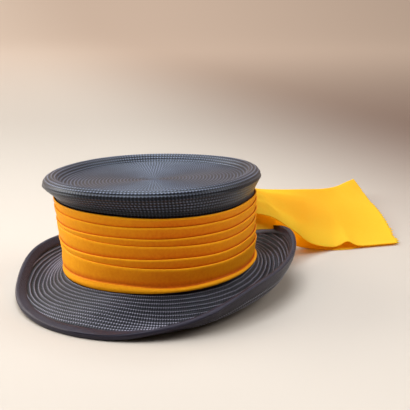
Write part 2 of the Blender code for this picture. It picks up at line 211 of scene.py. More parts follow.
def brim_curve(angle, count=160):
    """Upper face of the brim in one direction, from inside the crown to the edge, as (r, z, slope)."""
    reach, rise, slope_in, slope_out = (around(BRIM_TABLE, k, angle) for k in (1, 2, 3, 4))
    start = crown_point((0.0, 0.975, 0.977, 0, 0, 0.024, 0), angle)
    a, b = math.radians(slope_in), math.radians(slope_out)
    r0 = math.hypot(start.x, start.y) + BRIM_SHIFT * math.sin(angle) - (BINDING + TOUCH) * math.sin(a)
    z0 = start.z + (BINDING + TOUCH) * math.cos(a)
    r3 = oval(angle, HEAD_WIDTH, HEAD_LENGTH) + BRIM_SHIFT * math.sin(angle) + reach * BRIM_REACH
    handle = 0.44 * BRIM_REACH
    flat = EDGE_DEPTH * math.cos(b) + EDGE_SETBACK * math.sin(b) - SETTLE
    over = rise * BRIM_RISE - flat
    z3 = flat + 0.5 * (over + math.sqrt(over * over + EASE ** 2))
    r1, z1 = r0 + handle * math.cos(a), z0 + handle * math.sin(a)
    r2, z2 = r3 - handle * math.cos(b), z3 - handle * math.sin(b)
    out = []
    for k in range(count + 1):
        t = k / count
        u = 1 - t
        r = u ** 3 * r0 + 3 * u * u * t * r1 + 3 * u * t * t * r2 + t ** 3 * r3
        z = u ** 3 * z0 + 3 * u * u * t * z1 + 3 * u * t * t * z2 + t ** 3 * z3
        dr = 3 * u * u * (r1 - r0) + 6 * u * t * (r2 - r1) + 3 * t * t * (r3 - r2)
        dz = 3 * u * u * (z1 - z0) + 6 * u * t * (z2 - z1) + 3 * t * t * (z3 - z2)
        out.append((r, z, math.atan2(dz, dr)))
    return out


def place(r, z, angle):
    return Vector((r * math.sin(angle), -r * math.cos(angle), z))


def below(mark, depth, angle, back=0.0):
    """Point under a mark of the brim's face: depth along its normal, back towards the crown."""
    r, z, slope = mark
    return place(r + math.sin(slope) * depth - math.cos(slope) * back,
                 z - math.cos(slope) * depth - math.sin(slope) * back, angle)


def gather_point(direction, height):
    """Point just outside the band, on the middle of the cloth gathered there."""
    return crown_wall(height, math.radians(direction), TOUCH + BAND_BED + FOLD_PUFF + TOUCH + CLOTH / 2)


def tail_rows():
    """Rows of ten numbers along the tail: the three points of each station and its arch."""
    outlet = gather_point(*OUTLET)
    start = [value for direction, height in GATHER for value in gather_point(direction, height)]
    rows = [start + [TAIL_STATIONS[0][3] * BRIM_RISE]]
    for near, fold, under, arch in TAIL_STATIONS:
        row = []
        for x, y, z in (near, fold, under):
            row += [outlet.x + x * TAIL_REACH, outlet.y + y * TAIL_REACH, z * BRIM_RISE]
        rows.append(row + [arch * BRIM_RISE])
    return rows


def tail_middle(rows, s, w):
    """Middle of the doubled cloth; s runs from the band to the cut end, w from the upper raw edge
    over the far fold to the lower raw edge."""
    v = along(rows, s)
    near, fold, under, arch = Vector(v[0:3]), Vector(v[3:6]), Vector(v[6:9]), v[9]
    radius = min(TAIL_FOLD, 0.5 * fold.z - 0.6 * CLOTH)
    radius = GATHER_FOLD + (radius - GATHER_FOLD) * min(1.0, s * 2.2)
    turn_near, turn_far = 0.46, 0.54
    across = (fold - near)
    across.z = 0
    across.normalize()
    crest = fold - across * radius
    base = crest.copy()
    base.z = crest.z - 2 * radius
    chord = (Vector(rows[0][0:3]) + Vector(rows[0][3:6])) / 2
    bow = gather_point(OUTLET[0], (GATHER[0][1] + GATHER[1][1]) / 2) - chord
    bow.z = 0
    bow *= max(0.0, 1.0 - 7 * s)
    if w <= turn_near:
        t = w / turn_near
        p = near + (crest - near) * t + bow * math.sin(math.pi * t)
        p.z += arch * math.sin(math.pi * t)
        p.z += RIPPLE * math.sin(3 * math.pi * t + 4 * s) * math.sin(math.pi * t)
        p.z += LIFT * math.exp(-((s - LIFT_SPOT[0]) / LIFT_SPOT[1]) ** 2) * (1 - t) ** 3
        p += Vector((0.92, 0.40, 0)) * (END_BOW * s ** 8 * math.sin(math.pi * min(1.0, t * 1.6)) ** 2)
        return p
    if w < turn_far:
        t = (w - turn_near) / (turn_far - turn_near) * math.pi
        return crest + across * (radius * math.sin(t)) + Vector((0, 0, radius * (math.cos(t) - 1)))
    t = (w - turn_far) / (1 - turn_far)
    p = base + (under - base) * t + bow * math.sin(math.pi * t)
    sag = min(1.0, max(0.0, (s - 0.35) * 2.5))
    drop = (base.z - under.z) * (1 - t)
    p.z -= drop * sag * (1 - (1 - t) ** 3)
    p.z = max(p.z, CLOTH / 2)
    return p


# rows of the sewn straw
BRIM_ROW = 4.0 * MM              # width of one row on the brim
BRIM_BEAD = 1.60 * MM            # how far the bead along each row stands up
BRIM_STITCH = 2.3 * MM           # length of one plait along a row
CROWN_ROW = 3.2 * MM
CROWN_BEAD = 0.60 * MM
CROWN_STITCH = 2.8 * MM
BEAD_WIDE = 0.12                 # half width of the brim's bead, as a share of the row
CROWN_WIDE = 0.20                # the same for the crown's bead
BRIM_ROWS = 17
BRIM_MIDDLE = 0.118              # radius at which the brim's plaits are counted
ROW_DRIFT = 0.35 * MM            # how far the sewing wanders
ROWS_FROM = 60.0 * MM            # the crown's rows start here, just under the top of the band
PLAIN_STEP = 4.0 * MM            # distance between the crown's rings below that

# folds of the band round the hat: direction, then heights as shares of the crown's height
# of the bottom lip, of the five folds above it and of the band's top
FOLD_LINES = (
    (0, 0.072, 0.258, 0.335, 0.470, 0.542, 0.650, 0.745),
    (30, 0.042, 0.240, 0.338, 0.462, 0.540, 0.655, 0.743),
    (60, 0.046, 0.230, 0.330, 0.452, 0.550, 0.660, 0.750),
    (90, 0.030, 0.236, 0.345, 0.474, 0.575, 0.682, 0.768),
    (120, 0.035, 0.235, 0.360, 0.500, 0.590, 0.700, 0.770),
    (150, 0.050, 0.220, 0.340, 0.460, 0.570, 0.670, 0.752),
    (180, 0.060, 0.200, 0.320, 0.430, 0.550, 0.660, 0.747),
    (210, 0.060, 0.210, 0.330, 0.440, 0.540, 0.650, 0.745),
    (240, 0.065, 0.240, 0.340, 0.460, 0.540, 0.655, 0.750),
    (270, 0.070, 0.290, 0.360, 0.500, 0.555, 0.675, 0.762),
    (300, 0.075, 0.310, 0.372, 0.515, 0.556, 0.685, 0.766),
    (330, 0.072, 0.282, 0.342, 0.495, 0.545, 0.664, 0.752),
)
# how far each of those edges stands off, and the crease under it, on the left and on the right half
LIP_OUT = ((3.6, 3.6), (3.0, 3.5), (3.1, 3.4), (2.8, 3.0), (3.0, 3.3), (2.6, 2.9), (2.0, 2.2))
CREASE_OUT = ((1.0, 0.7), (1.3, 1.2), (1.3, 1.3), (0.9, 0.9), (1.2, 1.3), (0.8, 0.9), (0.3, 0.3))

# the rounded bottom lip: height as a share of its own, distance out in mm, tone, a painted highlight on the
# roll and painted shade at its foot and where it tucks in
BOTTOM_LIP = (
    (-0.09, 0.6, 0.3),
    (-0.16, 1.8, 0.6),
    (-0.10, 3.0, 0.9),
    (0.08, 3.8, 1.0),
    (0.30, 4.1, 1.0),
    (0.50, 3.9, 1.0),
    (0.68, 3.4, 1.0),
    (0.82, 2.7, 1.0),
    (0.93, 1.9, 0.7),
    (0.97, 1.2, 0.1),
    (0.90, 0.8, 0.0),
)
# rounding over the top of each lip: in from the lip in mm, down as a share of the crown's height, tone, a
# painted highlight on the rounding fading to painted shade behind it
LIP_ROUND = (
    (0.0, 0.0120, 1.0),
    (0.10, 0.0070, 1.0),
    (0.32, 0.0030, 1.0),
    (0.65, 0.0006, 1.0),
    (0.95, 0.0004, 0.6),
    (1.15, 0.0030, 0.2),
)
CREASE_DOWN = 0.014              # depth of the crease under a lip, share of the crown's height
LIP_OVER = 0.013                 # a fold's face ends this far below its height, the same
CREASE_LEAST = 1.3 * MM          # a crease lies at least this far in from the lip above it
LIP_FLAT = 3.2                   # distance out in mm of the bottom lip where it is flattened
BAND_RADIUS = 0.095              # radius at which the band's threads are counted

# ribbon
LAP = 0.45 * MM                  # step where the ribbon's end laps over its start
LAP_AT = 40                      # direction of the lapped join, degrees
EDGE_RADIUS = 0.150              # radius at which the ribbon's ribs are counted
RIB = 0.8 * MM                   # pitch of the ribs
HEM = 0.85 * MM                  # how deep the ribbon's inner edge sinks into the straw

# scarf
SCARF = 0.8 * MM                 # one ply of the scarf's cloth
THREAD = 0.55 * MM               # pitch of its threads
CREASE_DROP = 5.5 * MM           # depth of the hollow beside the crease in the tail
TOOTH = 8.5 * MM                 # pitch of the pinked cut
TOOTH_DEPTH = 4.2 * MM
GATHERED = 0.13                  # share of the tail over which its gathers die away

# camera: where it stands, which way it looks, and its lens on a 36 mm sensor
CAMERA_PLACE = Vector((0.3318, -0.7806, 0.2993))
CAMERA_AZIMUTH = math.radians(20.04)
CAMERA_DOWN = math.radians(14.56)
CAMERA_LENS = 78.91
CAMERA_SENSOR = 36

# lights: name, place, aim, size, power in watts, colour
LIGHTS = (
    ("window", (-1.90, -0.10, 1.10), (0, 0, 0.05), (1.6, 1.4), 46, (1.0, 0.96, 0.90)),
    ("sky", (-0.30, -0.45, 1.85), (0, 0, 0.08), (1.8, 1.6), 38, (0.96, 0.97, 1.0)),
    ("behind", (-0.35, 0.95, 2.00), (0, 0, 0.08), (1.2, 0.9), 24, (0.88, 0.94, 1.0)),
    ("far_side", (1.50, 0.75, 1.30), (0, 0, 0.05), (1.2, 1.0), 18, (1.0, 0.96, 0.92)),
)
WORLD_COLOUR = (1.0, 0.97, 0.94, 1)
WORLD_STRENGTH = 0.20

# paper: two tints of its grain, the painted shade it turns to on the right, and the painted glow of the far
# side
PAPER_TINTS = ((0.485, 0.440, 0.388, 1), (0.510, 0.463, 0.408, 1))
PAPER_SHADE = (0.165, 0.105, 0.080, 1)
PAPER_GLOW = (0.66, 0.50, 0.385, 1)
# gradients over the floor: direction, where each starts and ends, and its value there; they place the
# painted shade on the right, a painted darkening towards the back and the painted glow of the far side with
# its fade to the right
SHADE_REACH = ((0.82, 0.67, 0), 0.12, 0.85, 0.0, 1.0)
BACK_SHADE_REACH = ((-0.34, 0.94, 0), 0.05, 1.10, 1.0, 0.70)
GLOW_REACH = ((-0.42, 0.90, 0), 0.3, 2.8, 0.0, 0.84)
GLOW_FADE = ((0.94, 0.34, 0), -0.5, 1.6, 1.0, 0.70)
FLOOR_FLAT = 3.4                 # radius of the flat floor
FLOOR_BEND = 1.6                 # radius of the sweep up into the wall
FLOOR_WALL = 1.4                 # height of the wall above it


def turns(count):
    return [2 * math.pi * k / count for k in range(count)]


def bell(x, centre, width):
    return math.exp(-((x - centre) / width) ** 2)


def clamp(x, low=0.0, high=1.0):
    return min(max(x, low), high)


def smooth(x, low, high):
    t = clamp((x - low) / (high - low))
    return t * t * (3 - 2 * t)


def turned(angle, centre):
    """Degrees between a direction round the hat and a centre, from -180 to 180."""
    return (math.degrees(angle) - centre + 180) % 360 - 180


def piece(name, verts, faces, corners, material):
    """A mesh with three numbers at each face corner: place along the weave, place across it, and height,
    which the straw and scarf materials paint as shade and highlight.
    """
    mesh = bpy.data.meshes.new(name)
    mesh.from_pydata(verts, [], faces)
    mesh.update()
    mesh.polygons.foreach_set("use_smooth", [True] * len(mesh.polygons))
    layer = mesh.attributes.new("weave", "FLOAT_VECTOR", "CORNER")
    layer.data.foreach_set("vector", [x for corner in corners for x in corner])
    mesh.materials.append(material)
    obj = bpy.data.objects.new(name, mesh)
    bpy.context.collection.objects.link(obj)
    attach(obj, "root")
    return obj


class Weave:
    """A material whose nodes read the three numbers of a piece's weave."""

    def __init__(self, name):
        self.material = bpy.data.materials.new(name)
        self.material.use_nodes = True
        self.tree = self.material.node_tree
        self.shader = self.tree.nodes["Principled BSDF"]
        source = self.tree.nodes.new("ShaderNodeAttribute")
        source.attribute_name = "weave"
        split = self.tree.nodes.new("ShaderNodeSeparateXYZ")
        self.tree.links.new(source.outputs["Vector"], split.inputs[0])
        self.u, self.v, self.h = split.outputs

    def math(self, operation, *values):
        node = self.tree.nodes.new("ShaderNodeMath")
        node.operation = operation
        for socket, value in zip(node.inputs, values):
            if isinstance(value, (int, float)):
                socket.default_value = value
            else:
                self.tree.links.new(value, socket)
        return node.outputs[0]

    def wave(self, value):
        """From 0 to 1 and back once for each whole step of value."""
        sine = self.math("SINE", self.math("MULTIPLY", value, 2 * math.pi))
        return self.math("MULTIPLY_ADD", sine, 0.5, 0.5)

    def noise(self, scale, detail=3.0):
        node = self.tree.nodes.new("ShaderNodeTexNoise")
        place_node = self.tree.nodes.new("ShaderNodeTexCoord")
        self.tree.links.new(place_node.outputs["Object"], node.inputs["Vector"])
        node.inputs["Scale"].default_value = scale
        node.inputs["Detail"].default_value = detail
        return node.outputs["Fac"]

    def ramp(self, value, *stops):
        node = self.tree.nodes.new("ShaderNodeValToRGB")
        self.tree.links.new(value, node.inputs[0])
        elements = node.color_ramp.elements
        while len(elements) < len(stops):
            elements.new(0.5)
        for element, (at, colour) in zip(elements, stops):
            element.position = at
            element.color = (*colour, 1)
        return node.outputs[0]

    def bump(self, height, distance, strength=1.0, under=None):
        node = self.tree.nodes.new("ShaderNodeBump")
        node.inputs["Distance"].default_value = distance
        node.inputs["Strength"].default_value = strength
        self.tree.links.new(height, node.inputs["Height"])
        if under is not None:
            self.tree.links.new(under, node.inputs["Normal"])
        return node.outputs[0]

    def set(self, **sockets):
        for name, value in sockets.items():
            socket = self.shader.inputs[name.replace("_", " ")]
            if isinstance(value, (int, float, tuple)):
                socket.default_value = value
            else:
                self.tree.links.new(value, socket)
        return self.material


def straw_material(name, relief, painted_sheen, shine):
    """Plaited straw: slanted plaits that turn back in the middle of each row, dark between the rows as
    painted shade, with painted sheen on the bead tops.
    """
    w = Weave(name)
    side = w.math("ABSOLUTE", w.math("SUBTRACT", w.math("FRACT", w.v), 0.5))
    plait = w.wave(w.math("MULTIPLY_ADD", side, 0.6, w.u))
    fleck = w.noise(900, 2)
    cloud = w.noise(22)
    height = w.math("MULTIPLY_ADD", plait, 0.7, w.math("MULTIPLY", fleck, 0.5))
    patchy = w.math("MULTIPLY_ADD", plait, 0.34, w.math("MULTIPLY", cloud, 0.2))
    # tone: the height number paints shade in the grooves and sheen on the bead tops; the plaits and the
    # cloud are the straw's own unevenness
    tone = w.math("MULTIPLY_ADD", w.h, 0.48, patchy)
    # the last two stops are painted sheen on the bead tops, a light bluish grey and a fifth of it; the near
    # black first stop is painted shade in the grooves
    dim_painted_sheen = tuple(c * 0.2 for c in painted_sheen)
    colour = w.ramp(tone, (0.36, (0.0008, 0.0004, 0.0006)), (0.60, dim_painted_sheen), (0.88, painted_sheen))
    rough = w.math("MULTIPLY_ADD", fleck, 0.22, 0.22)
    uneven = w.bump(w.noise(70, 2), 1.0 * MM, 0.25)
    return w.set(Base_Color=colour, Roughness=rough, Normal=w.bump(height, relief, 0.9, uneven),
                 Specular_IOR_Level=shine, Specular_Tint=(0.74, 0.84, 1.0, 1), Sheen_Weight=0.02,
                 Sheen_Roughness=0.4, Sheen_Tint=(0.62, 0.72, 1.0, 1))


def ribbon_material():
    """Ribbed ribbon: fine ribs across its width."""
    w = Weave("ribbon")
    rib = w.wave(w.u)
    cloud = w.noise(30)
    colour = w.ramp(w.math("MULTIPLY_ADD", rib, 0.35, w.math("MULTIPLY", cloud, 0.7)),
                    (0.15, (0.008, 0.005, 0.009)), (0.85, (0.026, 0.023, 0.036)))
    return w.set(Base_Color=colour, Roughness=0.42, Normal=w.bump(rib, 0.10 * MM, 0.6), Sheen_Weight=0.03,
                 Sheen_Roughness=0.45, Sheen_Tint=(0.62, 0.60, 0.85, 1),
                 Specular_IOR_Level=0.35, Specular_Tint=(0.80, 0.80, 1.0, 1))


def scarf_material(name, thin=0.0):
    """Fine plain-woven cloth with painted shade in its creases and painted highlight on its lips; thin says
    how much light comes through it and also switches to the lighter, yellower stops painted for the lit
    tail.
    """
    w = Weave(name)
    warp, weft = (w.wave(w.math("DIVIDE", place_on_cloth, THREAD)) for place_on_cloth in (w.u, w.v))
    thread = w.math("MULTIPLY", warp, weft)
    cloud = w.noise(16)
    slub = w.noise(420, 2)
    crumple = w.noise(70, 2)
    # tone: the height number paints shade in the band's creases and highlight on its lips; the cloud and
    # slub are the cloth's own unevenness
    tone = w.math("MULTIPLY_ADD", w.h, 0.62, w.math("MULTIPLY", w.math("ADD", cloud, slub), 0.24))
    # the band's stops run from deep brown, painted shade, to full orange, painted highlight; the thin
    # tail's stops are a lighter, yellower copy of the same cloth, painted as lit
    if thin:
        stops = (0.05, (0.88, 0.34, 0.001)), (0.45, (0.99, 0.66, 0.010)), (0.9, (1.0, 0.92, 0.070))
    else:
        stops = (0.05, (0.34, 0.030, 0.0003)), (0.50, (0.80, 0.175, 0.001)), (0.90, (1.0, 0.42, 0.006))
    colour = w.ramp(tone, *stops)
    soft = w.bump(crumple, 1.6 * MM, 0.25)
    if thin:
        glow = w.tree.nodes.new("ShaderNodeBsdfTranslucent")
        glow.inputs["Color"].default_value = (1.0, 0.62, 0.008, 1)
        both = w.tree.nodes.new("ShaderNodeMixShader")
        both.inputs[0].default_value = thin
        w.tree.links.new(w.shader.outputs[0], both.inputs[1])
        w.tree.links.new(glow.outputs[0], both.inputs[2])
        w.tree.links.new(both.outputs[0], w.tree.nodes["Material Output"].inputs["Surface"])
    return w.set(Base_Color=colour, Roughness=0.62, Normal=w.bump(thread, 0.10 * MM, 0.5, soft),
                 Specular_IOR_Level=0.12, Sheen_Weight=0.04, Sheen_Roughness=0.5,
                 Sheen_Tint=(1.0, 0.55, 0.05, 1))


def walk(points):
    """Running length along a list of (r, z) pairs."""
    out = [0.0]
    for (r, z), (q, y) in zip(points, points[1:]):
        out.append(out[-1] + math.hypot(q - r, y - z))
    return out


def at_length(curve, length, wanted):
    """Point of a curve at a running length."""
    if wanted >= length[-1]:
        return tuple(curve[-1])
    k = next(i for i in range(1, len(length)) if length[i] >= wanted) - 1
    t = (wanted - length[k]) / (length[k + 1] - length[k])
    return tuple(p + (q - p) * t for p, q in zip(curve[k], curve[k + 1]))


def bead(t, wide=BEAD_WIDE):
    """Height across one row: a bead in its middle and a flat shoulder at each side."""
    return 0.82 * math.exp(-((t - 0.5) / wide) ** 2) + 0.18 * math.sin(math.pi * t)


def swept(name, sections, corner, material):
    """Closed body swept once round the hat. corner(column, segment, end) gives the weave at a corner."""
    n, m = len(sections), len(sections[0])
    verts = [p for section in sections for p in section]
    faces, corners = [], []
    for i in range(n):
        j = (i + 1) % n
        for k in range(m):
            l = (k + 1) % m
            faces.append((i * m + k, j * m + k, j * m + l, i * m + l))
            corners += [corner(i, k, 0), corner(i + 1, k, 0), corner(i + 1, k, 1), corner(i, k, 1)]
    return piece(name, verts, faces, corners, material)


def make_brim(material, columns=360, steps=8, low_steps=4):
    """Sewn rows run round the brim and end under the ribbon; the underside has coarser beads."""
    inset = BINDING + TOUCH
    top = [k / steps for k in range(BRIM_ROWS * steps + 1)]
    low = [k / low_steps for k in range(BRIM_ROWS * low_steps + 1)][::-1]
    sections = []
    for a in turns(columns):
        curve = brim_curve(a)
        length = walk([c[:2] for c in curve])
        end = length[-1] - inset
        section = []
        strength = 0.85 + 0.3 * noise.noise((3 * math.sin(a), 3 * math.cos(a), 0.5))
        for side, marks in ((1, top), (-1, low)):
            for mark in marks:
                s = mark * BRIM_ROW
                drift = ROW_DRIFT * noise.noise((9 * math.sin(a), 9 * math.cos(a), math.floor(mark) * 1.7))
                here = at_length(curve, length, clamp(s + drift, 0.0, end))
                lift = BRIM_BEAD * strength * (bead(mark % 1.0) - 0.55)
                if s >= end:
                    lift = -0.3 * MM
                depth = inset - lift if side > 0 else inset + STRAW + 0.6 * lift
                section.append(below(here, depth, a))
        sections.append(section)
    marks = top + low
    stitches = round(2 * math.pi * BRIM_MIDDLE / BRIM_STITCH)

    def corner(i, k, end):
        a, b = marks[k], marks[(k + 1) % len(marks)]
        row = math.floor((a + b) / 2)
        v = (b if end else a) - row
        # the third number is the bead's height, which the straw material paints as shade in the grooves and
        # sheen on the tops
        return (i / columns * (stitches + 2 * row), v, bead(clamp(v)))

    obj = swept("brim_straw", sections, corner, material)
    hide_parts("brim")


def make_crown(material, columns=240):
    """Sewn rows run up the side, over the rim and into the middle of the tip; the inside is plain."""
    tip = CROWN_OUTSIDE[-1][3:]
    outside = CROWN_OUTSIDE + ((CROWN_CENTRE[0], 0.012, 0.012, *tip),)
    lining = ((CROWN_CENTRE[1], 0.012, 0.012, *tip),) + CROWN_INSIDE
    fine = [along(outside, k / 900) for k in range(901)]
    length = walk([(HEAD_WIDTH / 2 * row[1], CROWN_HEIGHT * row[0]) for row in fine])
    marks = []
    s = 0.0
    while s < length[-1]:
        marks.append(s)
        s += PLAIN_STEP if s < ROWS_FROM - PLAIN_STEP else CROWN_ROW / 6
    rings = [(at_length(fine, length, s), s) for s in marks]
    verts, faces, corners = [], [], []
    angles = turns(columns)
    slopes = []
    for k in range(len(rings)):
        low, high = rings[max(k - 1, 0)][0], rings[min(k + 1, len(rings) - 1)][0]
        dr, dz = HEAD_WIDTH / 2 * (high[1] - low[1]), CROWN_HEIGHT * (high[0] - low[0])
        slopes.append((dz / math.hypot(dr, dz), -dr / math.hypot(dr, dz)))
    for (row, s), (out, up) in zip(rings, slopes):
        lift = 0.0 if s < ROWS_FROM else CROWN_BEAD * (bead((s / CROWN_ROW) % 1.0, CROWN_WIDE) - 0.6)
        for a in angles:
            p = crown_point(row, a, lift * out)
            p.z += lift * up
            verts.append(p)
    inside = [along(lining, k / 40) for k in range(41)]
    for row in inside:
        for a in angles:
            verts.append(crown_point(row, a))
    n, outer, total = columns, len(rings), len(rings) + len(inside)
    for i in range(total):
        j = (i + 1) % total
        if i == outer - 1:
            continue
        if i < outer - 1:
            row = math.floor((marks[i] + marks[i + 1]) / 2 / CROWN_ROW)
            group = at_length(fine, length, row // 5 * 5 * CROWN_ROW)[1]
            ends = [marks[q] / CROWN_ROW - row for q in (i, i + 1)]
            out = slopes[i][0]
            # painted highlight where the rim's roll faces half up and painted shade down the steep side; it
            # scales the bead's tone
            lit = 0.80 + 0.40 * bell(out, 0.6, 0.2) - 0.65 * clamp(out) ** 6
            heights = [bead(clamp(v), CROWN_WIDE) * lit for v in ends]
        else:
            group = 1.0
            ends = [0.0, 0.0]
            heights = [0.3, 0.3]
        stitches = max(6, round(2 * math.pi * HEAD_WIDTH / 2 * group / CROWN_STITCH))
        for k in range(n):
            l = (k + 1) % n
            faces.append((i * n + k, i * n + l, j * n + l, j * n + k))
            corners += [(u / n * stitches, ends[q], heights[q])
                        for u, q in ((k, 0), (k + 1, 0), (k + 1, 1), (k, 1))]
    for height, ring in zip(CROWN_CENTRE, (outer - 1, outer)):
        middle = sum((verts[ring * n + k] for k in range(n)), Vector()) / n
        middle.z = CROWN_FOOT + height * CROWN_HEIGHT
        verts.append(middle)
        for k in range(n):
            order = (ring * n + k, ring * n + (k + 1) % n, len(verts) - 1)
            faces.append(order if ring < outer else order[::-1])
            corners += [(0.0, 0.5, 0.6)] * 3
    obj = piece("crown_straw", verts, faces, corners, material)
    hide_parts("crown")


def make_binding(material, columns=480):
    """Ribbon folded over the brim's edge, with its lapped join near the front right."""
    sections = []
    for a in turns(columns):
        curve = brim_curve(a)
        length = walk([c[:2] for c in curve])
        edge = curve[-1]
        uneven = noise.noise((6 * math.sin(a), 6 * math.cos(a), 4.0))
        start = length[-1] - BINDING_WIDTH * (1 + 0.03 * uneven)
        shares = (0, 0.04, 0.25, 0.5, 0.75, 0.93)
        marks = [at_length(curve, length, start + (length[-1] - start) * t) for t in shares]
        past = turned(a, LAP_AT)
        lap = LAP * smooth(past, -0.1, 0.5) * (1 - smooth(past, 4.0, 4.6))
        ease = [HEM, 0.45 * MM, 0.10 * MM, 0.0, 0.0, 0.0]
        upper = [below(m, e - lap, a) for m, e in zip(marks, ease)]
        deep = EDGE_DEPTH + lap
        under = [below(m, deep - e, a) for m, e in zip(marks, ease)][::-1]
        middle, radius = EDGE_DEPTH / 2, EDGE_DEPTH / 2 + lap
        half_turn = [math.pi * k / 8 for k in range(9)]
        nose = [below(edge, middle - radius * math.cos(t), a, 1.2 * MM - 1.2 * MM * math.sin(t) - 0.1 * MM)
                for t in half_turn]
        lining = [below(m, EDGE_DEPTH - BINDING, a) for m in marks[::2]]
        lining += [below(edge, EDGE_DEPTH - BINDING, a, BINDING), below(edge, BINDING, a, BINDING)]
        lining += [below(m, BINDING, a) for m in marks[::2][::-1]]
        section = upper + nose + under + lining
        for p in section[:len(upper) + len(nose) + len(under)]:
            p.z = max(p.z, 0.0)
        sections.append(section)
    ribs = round(2 * math.pi * EDGE_RADIUS / RIB)

    def corner(i, k, end):
        return (i / columns * ribs, (k + end) / 8, 0.5)

    obj = swept("binding_ribbon", sections, corner, material)
    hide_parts("brim_binding")


def fold_numbers(a):
    """Heights, distances of the lips and of the creases of all the folds in one direction."""
    heights = [around(FOLD_LINES, k + 1, a) for k in range(7)]
    for k in range(1, 6):
        heights[k] += 0.004 * noise.noise((2.5 * math.sin(a), 2.5 * math.cos(a), 3.1 * k))
    right = smooth(turned(a, 60), -75, -30) * (1 - smooth(turned(a, 60), 110, 150))
    lips = [(l + (r - l) * right) * MM for l, r in LIP_OUT]
    creases = [(l + (r - l) * right) * MM for l, r in CREASE_OUT]
    return heights, lips, creases, right


def band_bulge(a, h):
    """Soft lumps of the loosely wound left side."""
    side = bell(turned(a, -75), 0, 34)
    lumps = 1.1 * bell(h, 0.42, 0.09) - 1.0 * bell(h, 0.235, 0.05) + 0.9 * bell(h, 0.11, 0.06)
    return side * MM * lumps


def make_band(material, columns=420):
    """Seven folds of cloth, each with a rounded lip over a crease, wound round the crown."""
    sections, painted_tones = [], []
    for a in turns(columns):
        heights, lips, creases, right = fold_numbers(a)
        slope = 0.45 + 0.30 * right
        # painted shade that darkens the fold faces at the front, around 30 degrees round
        painted_front_shade = bell(turned(a, 30), 0, 42)
        hollow = bell(turned(a, 42), 0, 42)
        path = []
        for up, out, tone in BOTTOM_LIP:
            # where the bottom lip's top is flattened its tone is raised towards full, a painted highlight
            flatter = 0.75 * (1 - right) if up > 0.8 else 0.0
            out += flatter * (LIP_FLAT - out)
            path.append((up * heights[0], out * MM, tone + flatter * (1.0 - tone)))
        low, inner = path[-1][0], path[-1][1]
        for k, (height, lip, crease) in enumerate(zip(heights, lips, creases)):
            if k == 0:
                continue
            for step in range(1, 8):
                t = step / 8
                rise = t ** slope if k != 1 else (1 - hollow) * t ** slope + hollow * t ** 1.8
                sway = 0.10 * MM * noise.noise((14 * math.sin(a), 14 * math.cos(a), 5.0 * k + 2.0 * t))
                # the fold face's tone: painted shade just above the crease, rising to full towards the lip
                tone = clamp(3.0 * t) * (1 - painted_front_shade * (0.60 - 0.25 * t))
                face = low + (height - LIP_OVER - low) * t
                path.append((face, inner + (lip - inner) * rise + sway, tone))
            for out, down, tone in LIP_ROUND:
                path.append((height - down, lip - out * MM, tone))
            if k < 6:
                low, inner = height - CREASE_DOWN, min(crease, lip - CREASE_LEAST)
                # the crease under a lip gets tone 0, painted shade
                path.append((low, inner, 0.0))
        top = heights[-1]
        path.append((top - 0.004, 0.15 * MM, 0.3))
        path += [(top * share, 0.0, 0.2) for share in (0.66, 0.33, 0.0)]
        section, painted_tone_row = [], []
        for h, out, tone in path:
            grow = TOUCH + out + (band_bulge(a, h) if out > 1.0 * MM else 0.0)
            section.append(crown_wall(h, a, grow))
            painted_tone_row.append(tone)
        sections.append(section)
        painted_tones.append(painted_tone_row)
    m = len(sections[0])
    across = [0.0]
    for p, q in zip(sections[0], sections[0][1:]):
        across.append(across[-1] + (q - p).length)
    across.append(across[-1])
    girth = 2 * math.pi * BAND_RADIUS

    def corner(i, k, end):
        return (i / columns * girth, across[k + end], painted_tones[i % columns][(k + end) % m])

    obj = swept("band_scarf", sections, corner, material)
    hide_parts("hat_band")


def tail_sheet(rows, s, w):
    """Middle of the cloth with its crease over the brim, the hollow beside it and the gathers."""
    p = tail_middle(rows, s, w)
    gather = math.exp(-s / GATHERED)
    if w <= 0.46:
        t = w / 0.46
        beside = (s - 0.300 + 0.21 * t) / 0.20
        if beside > 0:
            window = math.sin(math.pi * clamp((t - 0.01) / 0.78)) ** 1.3
            p.z -= CREASE_DROP * beside * math.exp(1 - beside) * window
        p.z += 1.5 * MM * bell(s, 0.22 - 0.15 * t, 0.07) * math.sin(math.pi * clamp(t / 0.75))
        p.z += 2.0 * MM * bell(s, 0.685, 0.06) * (1 - t) ** 5
        p.z -= 2.2 * MM * bell(s, 0.60, 0.10) * bell(t, 0.74, 0.20)
        p.z += 1.3 * MM * gather * math.sin(2 * math.pi * 4.5 * t + 0.6) * math.sin(math.pi * t)
    elif w >= 0.54:
        t = (1 - w) / 0.46
        p.x += 1.0 * MM * gather * math.sin(2 * math.pi * 5.0 * t) * math.sin(math.pi * t)
        over = bell(s, 0.215, 0.075) * (1 - smooth(t, 0.0, 0.45))
        p += Vector((0.57, 0.82, 0.0)) * (8 * MM * over)
        p.z -= 7 * MM * over
        turn_out = smooth(s, 0.70, 0.80) * (1 - smooth(t, 0.0, 0.4))
        p += Vector((-0.40, 0.92, 0.0)) * (5 * MM * turn_out)
    fold = bell(w, 0.48, 0.16)
    p.z += fold * MM * (3.0 * bell(s, 0.86, 0.11) - 2.6 * bell(s, 0.22, 0.13))
    low = 0.5 * (CLOTH - SCARF) * math.exp(-max(p.z - CLOTH / 2, 0.0) / (2 * MM))
    p.z = max(p.z - low, SCARF / 2)
    return p


